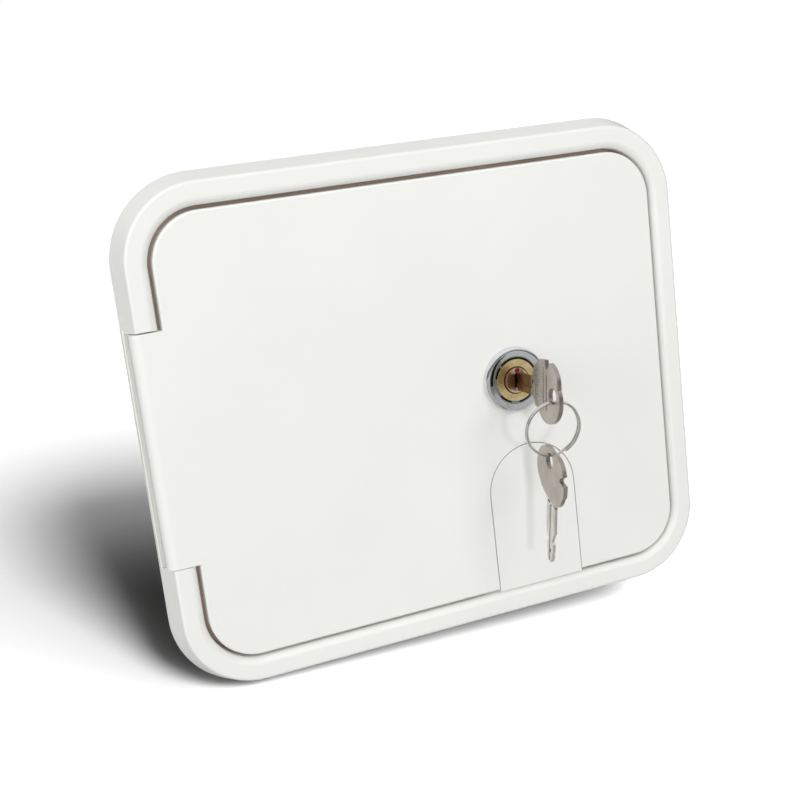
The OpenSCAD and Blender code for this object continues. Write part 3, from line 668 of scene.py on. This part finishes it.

# %% [markdown]
# Finishing the keys
#
# A stamped key isn't the same all over. Its narrow sides are sheared and dull, and they get
# painted shade for the dark they reflect. The little slope of the step gets a painted highlight
# where it would catch the light. The blade of the spare key is lighter than its bow, and that of
# the key in the lock gets a painted reflection of the brass plug and the dark keyway. One painted
# texture could hold all of this, but it would need a layout of its own. The faces are already
# there, so each gets its finish by its direction and by its place along the key.

# %% Key finishes
def finish_key(piece, place, lean, blade, blade_from):
    """Second finishes for a key's narrow sides, dull and with painted shade, its blade past a
    place, and its step, which gets a painted highlight.
    """
    across = (place.to_3x3() @ Vector((1.0, 0.0, 0.0))).normalized()
    to_flat = place.inverted()

    def past_step(middle):
        """How far a point lies past the end of the step, towards the tip."""
        spot = to_flat @ middle
        return spot.dot(slant(math.copysign(1, spot.x), lean)) - STEP_TO - 0.01

    def on_side(middle, normal):
        return abs(normal.dot(across)) < 0.35

    def on_blade(middle, normal):
        return past_step(middle) > 0.0 and (to_flat @ middle).y > blade_from

    def on_step(middle, normal):
        slope = abs(normal.dot(across))
        return 0.6 < slope < 0.985 and STEP_FROM - STEP_TO - 0.02 < past_step(middle) < 0.0

    second_finish(piece, dull_edge_and_shade, on_side)
    second_finish(piece, blade, on_blade)
    second_finish(piece, painted_step_highlight, on_step)


# The blade of the key in the lock gets a painted reflection of the brass plug and the dark
# keyway.
finish_key(key, at_key, 1, painted_brass_reflection, REFLECTION_FROM)
finish_key(spare, at_spare, -1, key_blade, -BOW_R)

# %% [markdown]
# Recesses at the shoulder and the tip
#
# Under the slanting step lie two small pits, and near the tip of the blade a short slot. They
# could be cut with a Boolean, but at this size only their dark mouths are seen. So each is a
# thin plate of painted shade, a three-sided or four-sided cylinder, that stands hardly proud of
# the blade.

# %% Recesses
def key_pits(name, place, body, lean, spots):
    """Thin plates of painted shade on both faces of a blade. A spot is (y, z, turn, length,
    width, sides).
    """
    made = []
    for side in (-1, 1):
        for y, z, angle, length, width, sides in spots:
            deselect()
            bpy.ops.mesh.primitive_cylinder_add(
                vertices=sides, radius=1.0, depth=0.12,
                location=(side * KEY_T / 2 * BLADE_PRESS, y, -z * side * lean))
            spot = bpy.context.object
            spot.rotation_euler = (math.radians(-angle * side * lean), 0.0, 0.0)
            spot.data.transform(Matrix.Diagonal((length / 2, width / 2, 1.0, 1.0)))
            spot.data.transform(turn(z=90.0))
            spot.data.transform(turn(y=90.0))
            bpy.ops.object.transform_apply(location=True, rotation=True, scale=True)
            made.append(spot)
    piece = settle(join_all(made, name), place)
    print(name, "spots:", len(made))
    return done(piece, painted_shade_black, body, "key_nickel")


shoulder_pits = [(-0.25, 1.9, -65.0, 2.6, 1.4, 3), (0.9, -0.8, -65.0, 1.3, 0.8, 3)]
tip_slot = (21.5, -0.3, 0.0, 1.9, 0.8, 4)
key_pits("key_pits", at_key, "key", 1, shoulder_pits)
key_pits("spare_pits", at_spare, "spare", -1, shoulder_pits + [tip_slot])

# %% [markdown]
# Grip ribs on the key
#
# The bow of the key in the lock carries a strip of fine raised lines on the face that shows, so
# that a thumb doesn't slip. They could be a bump, but a grazing view would show the bow flat.
# One rib is a low bar with its upper edges bevelled. An Array modifier repeats it, and a longer
# bar closes the strip towards the hole.

# %% Grip ribs
RIB_COUNT = 18
RIB_PITCH = 0.95
RIB_SIZE = (0.4, 7.0, 0.62)
RIB_PLACE = (-(KEY_T / 2 + 0.08), -6.6, -7.4)
RIB_TOP_X = -(KEY_T / 2 + 0.2)
BORDER_SIZE = (0.3, 0.4, 15.0)
BORDER_PLACE = (-(KEY_T / 2 + 0.05), -12.4, -1.0)


def bar(size, place):
    """A box of a size, in millimetres, with its middle at a place."""
    deselect()
    bpy.ops.mesh.primitive_cube_add(size=1.0, location=place)
    piece = bpy.context.object
    piece.scale = size
    bpy.ops.object.transform_apply(location=True, rotation=False, scale=True)
    return piece


rib = bar(RIB_SIZE, RIB_PLACE)
bpy.ops.object.mode_set(mode="EDIT")
mesh = bmesh.from_edit_mesh(rib.data)
for edge in mesh.edges:
    edge.select_set(all(p.co.x < RIB_TOP_X for p in edge.verts))
bmesh.update_edit_mesh(rib.data)
bpy.ops.mesh.bevel(offset=0.18, segments=2, affect="EDGES")
bpy.ops.object.mode_set(mode="OBJECT")
finish_with(rib, ("ARRAY", {"count": RIB_COUNT, "use_relative_offset": False,
                            "use_constant_offset": True,
                            "constant_offset_displace": (0.0, 0.0, RIB_PITCH)}))
key_grip = settle(join_all([rib, bar(BORDER_SIZE, BORDER_PLACE)], "key_grip"), at_key)
smooth(key_grip, 40)
done(key_grip, key_nickel, "key", "key_nickel")
# The sides of the ribs get the dull edge finish, darkened as painted shade.
key_across = (at_key.to_3x3() @ Vector((1.0, 0.0, 0.0))).normalized()
second_finish(key_grip, dull_edge_and_shade, lambda middle, normal: abs(normal.dot(key_across)) < 0.6)

# %% [markdown]
# The split ring
#
# A split ring is one wire wound in two close turns, so that a key can be threaded between them.
# It could be two rings side by side, but then it has no ends. Here a curve is wound through
# nearly two turns, with a small step from one turn to the other where the wire crosses over.
# A curve with a bevel gives the round wire and its closed ends, and is then made a mesh.

# %% Split ring
RING_TURNS = 1.93
RING_STEPS = 190
RING_START = math.radians(-60.0)
CROSS_FROM, CROSS_LENGTH = 0.90, 0.12


def wound_wire(name, wire, points, place, body, material, slot, *replaced):
    """A round wire along points given in millimetres, with closed ends."""
    curve = bpy.data.curves.new(name, "CURVE")
    curve.dimensions = "3D"
    curve.bevel_depth = wire
    curve.bevel_resolution = 4
    curve.use_fill_caps = True
    spline = curve.splines.new("POLY")
    spline.points.add(len(points) - 1)
    for target, point in zip(spline.points, points):
        target.co = (*point, 1.0)
    piece = bpy.data.objects.new(name, curve)
    bpy.context.scene.collection.objects.link(piece)
    only(piece)
    bpy.ops.object.convert(target="MESH")
    piece = bpy.context.object
    bpy.ops.object.mode_set(mode="EDIT")
    bpy.ops.mesh.select_all(action="SELECT")
    bpy.ops.mesh.remove_doubles(threshold=0.001)
    bpy.ops.object.mode_set(mode="OBJECT")
    settle(piece, place)
    smooth(piece, 50)
    print(name, "faces:", len(piece.data.polygons))
    return done(piece, material, body, slot, *replaced)


def ring_points():
    """Nearly two turns of wire, side by side, that spread a little where keys are threaded."""
    points = []
    for i in range(RING_STEPS + 1):
        turns = RING_TURNS * i / RING_STEPS
        angle = RING_START + 2 * math.pi * turns
        cross = min(max((turns - CROSS_FROM) / CROSS_LENGTH, 0.0), 1.0)
        apart = 0.56 + 0.26 * max(0.0, math.cos(angle + math.radians(25.0))) ** 2
        side = apart * (2 * cross * cross * (3 - 2 * cross) - 1)
        points.append((RING_R * math.cos(angle), side, RING_R * math.sin(angle)))
    return points


wound_wire("split_ring", WIRE_R - 0.1, ring_points(), at_ring, "ring", ring_steel,
           "ring_steel", "key_ring")

# %% [markdown]
# The flap's spring
#
# A torsion spring sits on the flap's pin: one leg bears on the leaf, the other on the flap. The
# CAD has a plain sleeve there. A Screw modifier could make the turns, but not the straight legs
# in one piece with them. The same way of winding a wire gives both. The last turn belongs to
# the flap's leg and moves with the flap.

# %% Flap spring
PIN_MIDDLE = move(40.3, -6.55, HATCH_Z - 23.55)
COIL_R = 1.75
COIL_PITCH = 0.76
COIL_TURNS = 7.0
COIL_HALF = COIL_TURNS / 2 * COIL_PITCH
POINTS_A_TURN = 24


def coil_points(first_x, last_x, start, turns):
    """Turns of a coil round the X axis, from a start angle in degrees."""
    steps = int(turns * POINTS_A_TURN)
    points = []
    for i in range(steps + 1):
        angle = math.radians(start) + 2 * math.pi * turns * i / steps
        points.append((first_x + (last_x - first_x) * i / steps,
                       COIL_R * math.cos(angle), COIL_R * math.sin(angle)))
    return points


leaf_leg = (-COIL_HALF, -COIL_R, 3.2)
flap_leg = (3.74, COIL_R, -10.1)
wound_wire("spring_turns", 0.36,
           [leaf_leg] + coil_points(-COIL_HALF, COIL_HALF, 180.0, COIL_TURNS),
           PIN_MIDDLE @ turn(x=12.0), "door", pin_steel, "pin_steel", "flap_spring")
wound_wire("spring_leg", 0.33, [flap_leg] + coil_points(3.5, 3.98, 0.0, 0.98),
           PIN_MIDDLE @ turn(x=-13.0), "flap", pin_steel, "pin_steel", "spring_end")

# %% [markdown]
# The thread on the lock's body
#
# With the door open the back of the lock shows. Its body is threaded for the nut. A cut thread
# costs many faces and shows little more than its crests. So a fine wire is wound along the
# body, with most of it sunk into the metal, and reads as a thread.

# %% Thread
THREAD_R = 10.42
THREAD_WIRE = 0.45
THREAD_FROM_Y = -5.6
THREAD_L = 13.6
THREAD_TURNS = 7
POINTS_A_THREAD = 36

thread = []
for i in range(THREAD_TURNS * POINTS_A_THREAD + 1):
    angle = 2 * math.pi * i / POINTS_A_THREAD
    thread.append((LOCK.x + THREAD_R * math.cos(angle),
                   THREAD_FROM_Y + THREAD_L * i / (THREAD_TURNS * POINTS_A_THREAD),
                   LOCK.z + THREAD_R * math.sin(angle)))
wound_wire("body_thread", THREAD_WIRE, thread, unmoved, "door", lock_zinc, "lock_zinc")

# %% [markdown]
# Ejector marks
#
# A mould pushes its moulding out with round pins, and each leaves a flat disc. They are seen on
# the back of the leaf, in the middle of the fields between the ribs. One disc is a cylinder
# with a small bevel. Its copies are set by counting fields from the middle of the leaf, with
# none where the lock and the flap are.

# %% Marks on the leaf's back
RIB_PITCH_X, RIB_PITCH_Z = 36.0, 46.0
LEAF_SKIN = 2.5
MARK_R = 2.6
ALL_ROWS = (1.5, 0.5, -0.5, -1.5)
marked_fields = {-2.5: ALL_ROWS, -1.5: ALL_ROWS, -0.5: (1.5, -0.5), 2.5: ALL_ROWS, 1.5: (1.5,)}

marks = []
for column, rows in marked_fields.items():
    for row in rows:
        deselect()
        bpy.ops.mesh.primitive_cylinder_add(
            vertices=40, radius=MARK_R, depth=0.3, rotation=(math.radians(90.0), 0.0, 0.0),
            location=(column * RIB_PITCH_X, FACE_Y + LEAF_SKIN, HATCH_Z + row * RIB_PITCH_Z))
        disc = only(bpy.context.object)
        bpy.ops.object.transform_apply(location=True, rotation=True, scale=True)
        marks.append(finish_with(disc, ("BEVEL", {"width": 0.1, "segments": 2,
                                                  "limit_method": "ANGLE"})))
ejector_marks = settle(join_all(marks, "ejector_marks"))
smooth(ejector_marks)
done(ejector_marks, white_plastic, "door", "white_plastic")
print("marks on the leaf:", len(marks))

# %% [markdown]
# Pins and seal
#
# The pins are cut from drawn wire, with a small chamfer on their ends so that they can be
# driven in. The seal is a soft profile. It could be a padded shape, but it is hardly pressed
# here, so rounder corners than those of the plastic are enough.

# %% Small pieces
for node, name, body, width in (("hinge_pin_upper", "upper_pin", "frame", 0.25),
                                ("hinge_pin_lower", "lower_pin", "frame", 0.25),
                                ("flap_pin", "long_pin", "door", 0.2)):
    dress(node, name, pin_steel, body, "pin_steel", (every, width, 2))
dress("door_seal", "soft_seal", seal_rubber, "frame", "seal_rubber", (every, 0.3, 2))

# %% [markdown]
# Floor
#
# In the photograph the hatch leans back on its lower left corner, and plumb is where the keys
# hang. The floor lies square to that, just under the lowest point of the frame. It could be
# painted white, but a white floor throws light back into its own shadow and onto the object.
# So its paint is grey, and its lamps bring it up to the white of the world behind it. The
# Light Path node makes that grey darker still for every ray but the camera's, which keeps the
# shadow deep.

# %% Floor
PLUMB = Vector((-0.0779, 0.1215, -0.9895)).normalized()
LOWEST = Vector((-90.5, 0.0, HATCH_Z - 106.9))
FLOOR_GAP = 0.4
SEEN_GREY = 0.3
BOUNCE_GREY = 0.12

deselect()
bpy.ops.mesh.primitive_plane_add(size=40.0)
floor = bpy.context.object
floor.name = "floor"
floor.matrix_world = Matrix.Translation((LOWEST + PLUMB * FLOOR_GAP) * MM) @ (
    (-PLUMB).to_track_quat("Z", "Y").to_matrix().to_4x4())
floor_grey = bpy.data.materials.new("floor_grey")
floor_grey.use_nodes = True
tree = floor_grey.node_tree
tree.nodes.clear()
path = add_node(tree, "ShaderNodeLightPath")
grey = add_node(tree, "ShaderNodeMix", data_type="RGBA")
grey.inputs[6].default_value = (BOUNCE_GREY, BOUNCE_GREY, BOUNCE_GREY, 1.0)
grey.inputs[7].default_value = (SEEN_GREY, SEEN_GREY, SEEN_GREY, 1.0)
matt = add_node(tree, "ShaderNodeBsdfDiffuse")
surface = add_node(tree, "ShaderNodeOutputMaterial")
link(tree,
     (path.outputs["Is Camera Ray"], grey.inputs[0]),
     (grey.outputs[2], matt.inputs["Color"]),
     (matt.outputs["BSDF"], surface.inputs["Surface"]))
floor.data.materials.append(floor_grey)
print("floor:", [round(v, 3) for v in floor.matrix_world.translation])

# %% [markdown]
# Lamps
#
# The hatch needs soft light from the front and the left, but in the photograph its shadow
# falls to the left too, and behind. One set of lamps can't do both. Light linking lets a lamp
# light only the objects of a collection. So two suns light the floor alone and cast the
# shadow: a low, broad one for its soft far end and a higher one for its dark foot. All the
# others leave the floor out. No lamp is seen in the metal, which reflects the room instead.

# %% Lamps
only_floor = bpy.data.collections.new("only_floor")
only_floor.objects.link(floor)
not_floor = bpy.data.collections.new("not_floor")
not_floor.objects.link(floor)
not_floor.collection_objects[0].light_linking.link_state = "EXCLUDE"


def lamp(name, kind, toward, strength, width, receivers, distance=2.0):
    """A lamp that shines on the hatch from a direction. Its width is in degrees for a sun and
    in metres for an area lamp."""
    light = bpy.data.objects.new(name, bpy.data.lights.new(name, kind))
    bpy.context.scene.collection.objects.link(light)
    light.data.energy = strength
    if kind == "SUN":
        light.data.angle = math.radians(width)
    else:
        light.data.shape = "SQUARE"
        light.data.size = width
    direction = Vector(toward).normalized()
    light.location = Vector((0.0, 0.0, HATCH_Z * MM)) + direction * distance
    light.rotation_mode = "QUATERNION"
    light.rotation_quaternion = (-direction).to_track_quat("-Z", "Y")
    light.visible_glossy = False
    light.light_linking.receiver_collection = receivers


lamp("floor_low_light", "SUN", (0.545, -0.817, 0.186), 17.0, 76.0, only_floor)
lamp("floor_high_light", "SUN", (0.177, -0.836, 0.519), 10.3, 20.0, only_floor)
lamp("key_light", "AREA", (0.288, -0.835, 0.470), 11.0, 1.0, not_floor)
lamp("small_light", "AREA", (-0.16, -0.98, 0.11), 8.0, 0.2, not_floor)
lamp("front_light", "AREA", (-0.37, -0.9, 0.25), 18.0, 2.4, not_floor, 2.5)
lamp("left_light", "AREA", (-0.95, -0.3, 0.15), 17.0, 1.5, not_floor)
lamp("top_light", "AREA", (0.0, -0.35, 0.93), 14.0, 1.5, not_floor)
lamp("back_light", "AREA", (0.45, 0.85, 0.3), 34.0, 2.4, not_floor, 2.5)

# %% [markdown]
# What the metal reflects
#
# Chrome has no colour of its own: it shows the room. A photograph of a studio is often used for
# that. Here the room is drawn for reflected rays alone, as bands by height: a pale floor, a
# dark wall at the horizon and a bright ceiling. The camera sees plain white behind the hatch,
# and matt surfaces get an even, weak light.

# %% World
FLOOR_BAND, CEILING_BAND = (0.30, 0.8), (0.92, 1.0)
MIDDLE_BANDS = ((0.47, 0.66), (0.53, 0.12), (0.63, 0.16), (0.73, 0.85))

world = bpy.data.worlds.new("studio")
bpy.context.scene.world = world
world.use_nodes = True
tree = world.node_tree
background = tree.nodes["Background"]
path = add_node(tree, "ShaderNodeLightPath")
toward = add_node(tree, "ShaderNodeTexCoord")
height = add_node(tree, "ShaderNodeSeparateXYZ")
bands = add_node(tree, "ShaderNodeValToRGB")
stops = bands.color_ramp.elements
for stop, (level, tone) in zip(stops, (FLOOR_BAND, CEILING_BAND)):
    stop.position, stop.color = level, (tone, tone, tone, 1.0)
for level, tone in MIDDLE_BANDS:
    stops.new(level).color = (tone, tone, tone * 1.02, 1.0)
rise = add_node(tree, "ShaderNodeMapRange", **{"From Min": -1.0, "From Max": 1.0})
shiny = add_node(tree, "ShaderNodeMix", data_type="RGBA")
shiny.inputs[6].default_value = (0.04, 0.04, 0.042, 1.0)
seen = add_node(tree, "ShaderNodeMath", operation="MAXIMUM")
shade = add_node(tree, "ShaderNodeMix", data_type="RGBA")
shade.inputs[7].default_value = (1.0, 1.0, 1.0, 1.0)
link(tree,
     (toward.outputs["Generated"], height.inputs[0]),
     (height.outputs["Z"], rise.inputs["Value"]),
     (rise.outputs["Result"], bands.inputs[0]),
     (bands.outputs[0], shiny.inputs[7]),
     (path.outputs["Is Glossy Ray"], shiny.inputs[0]),
     (shiny.outputs[2], shade.inputs[6]),
     (path.outputs["Is Camera Ray"], seen.inputs[0]),
     (path.outputs["Is Transmission Ray"], seen.inputs[1]),
     (seen.outputs[0], shade.inputs[0]),
     (shade.outputs[2], background.inputs["Color"]))
background.inputs["Strength"].default_value = 1.0
bpy.context.scene.view_settings.view_transform = "Standard"
print("bands in the room:", len(stops))
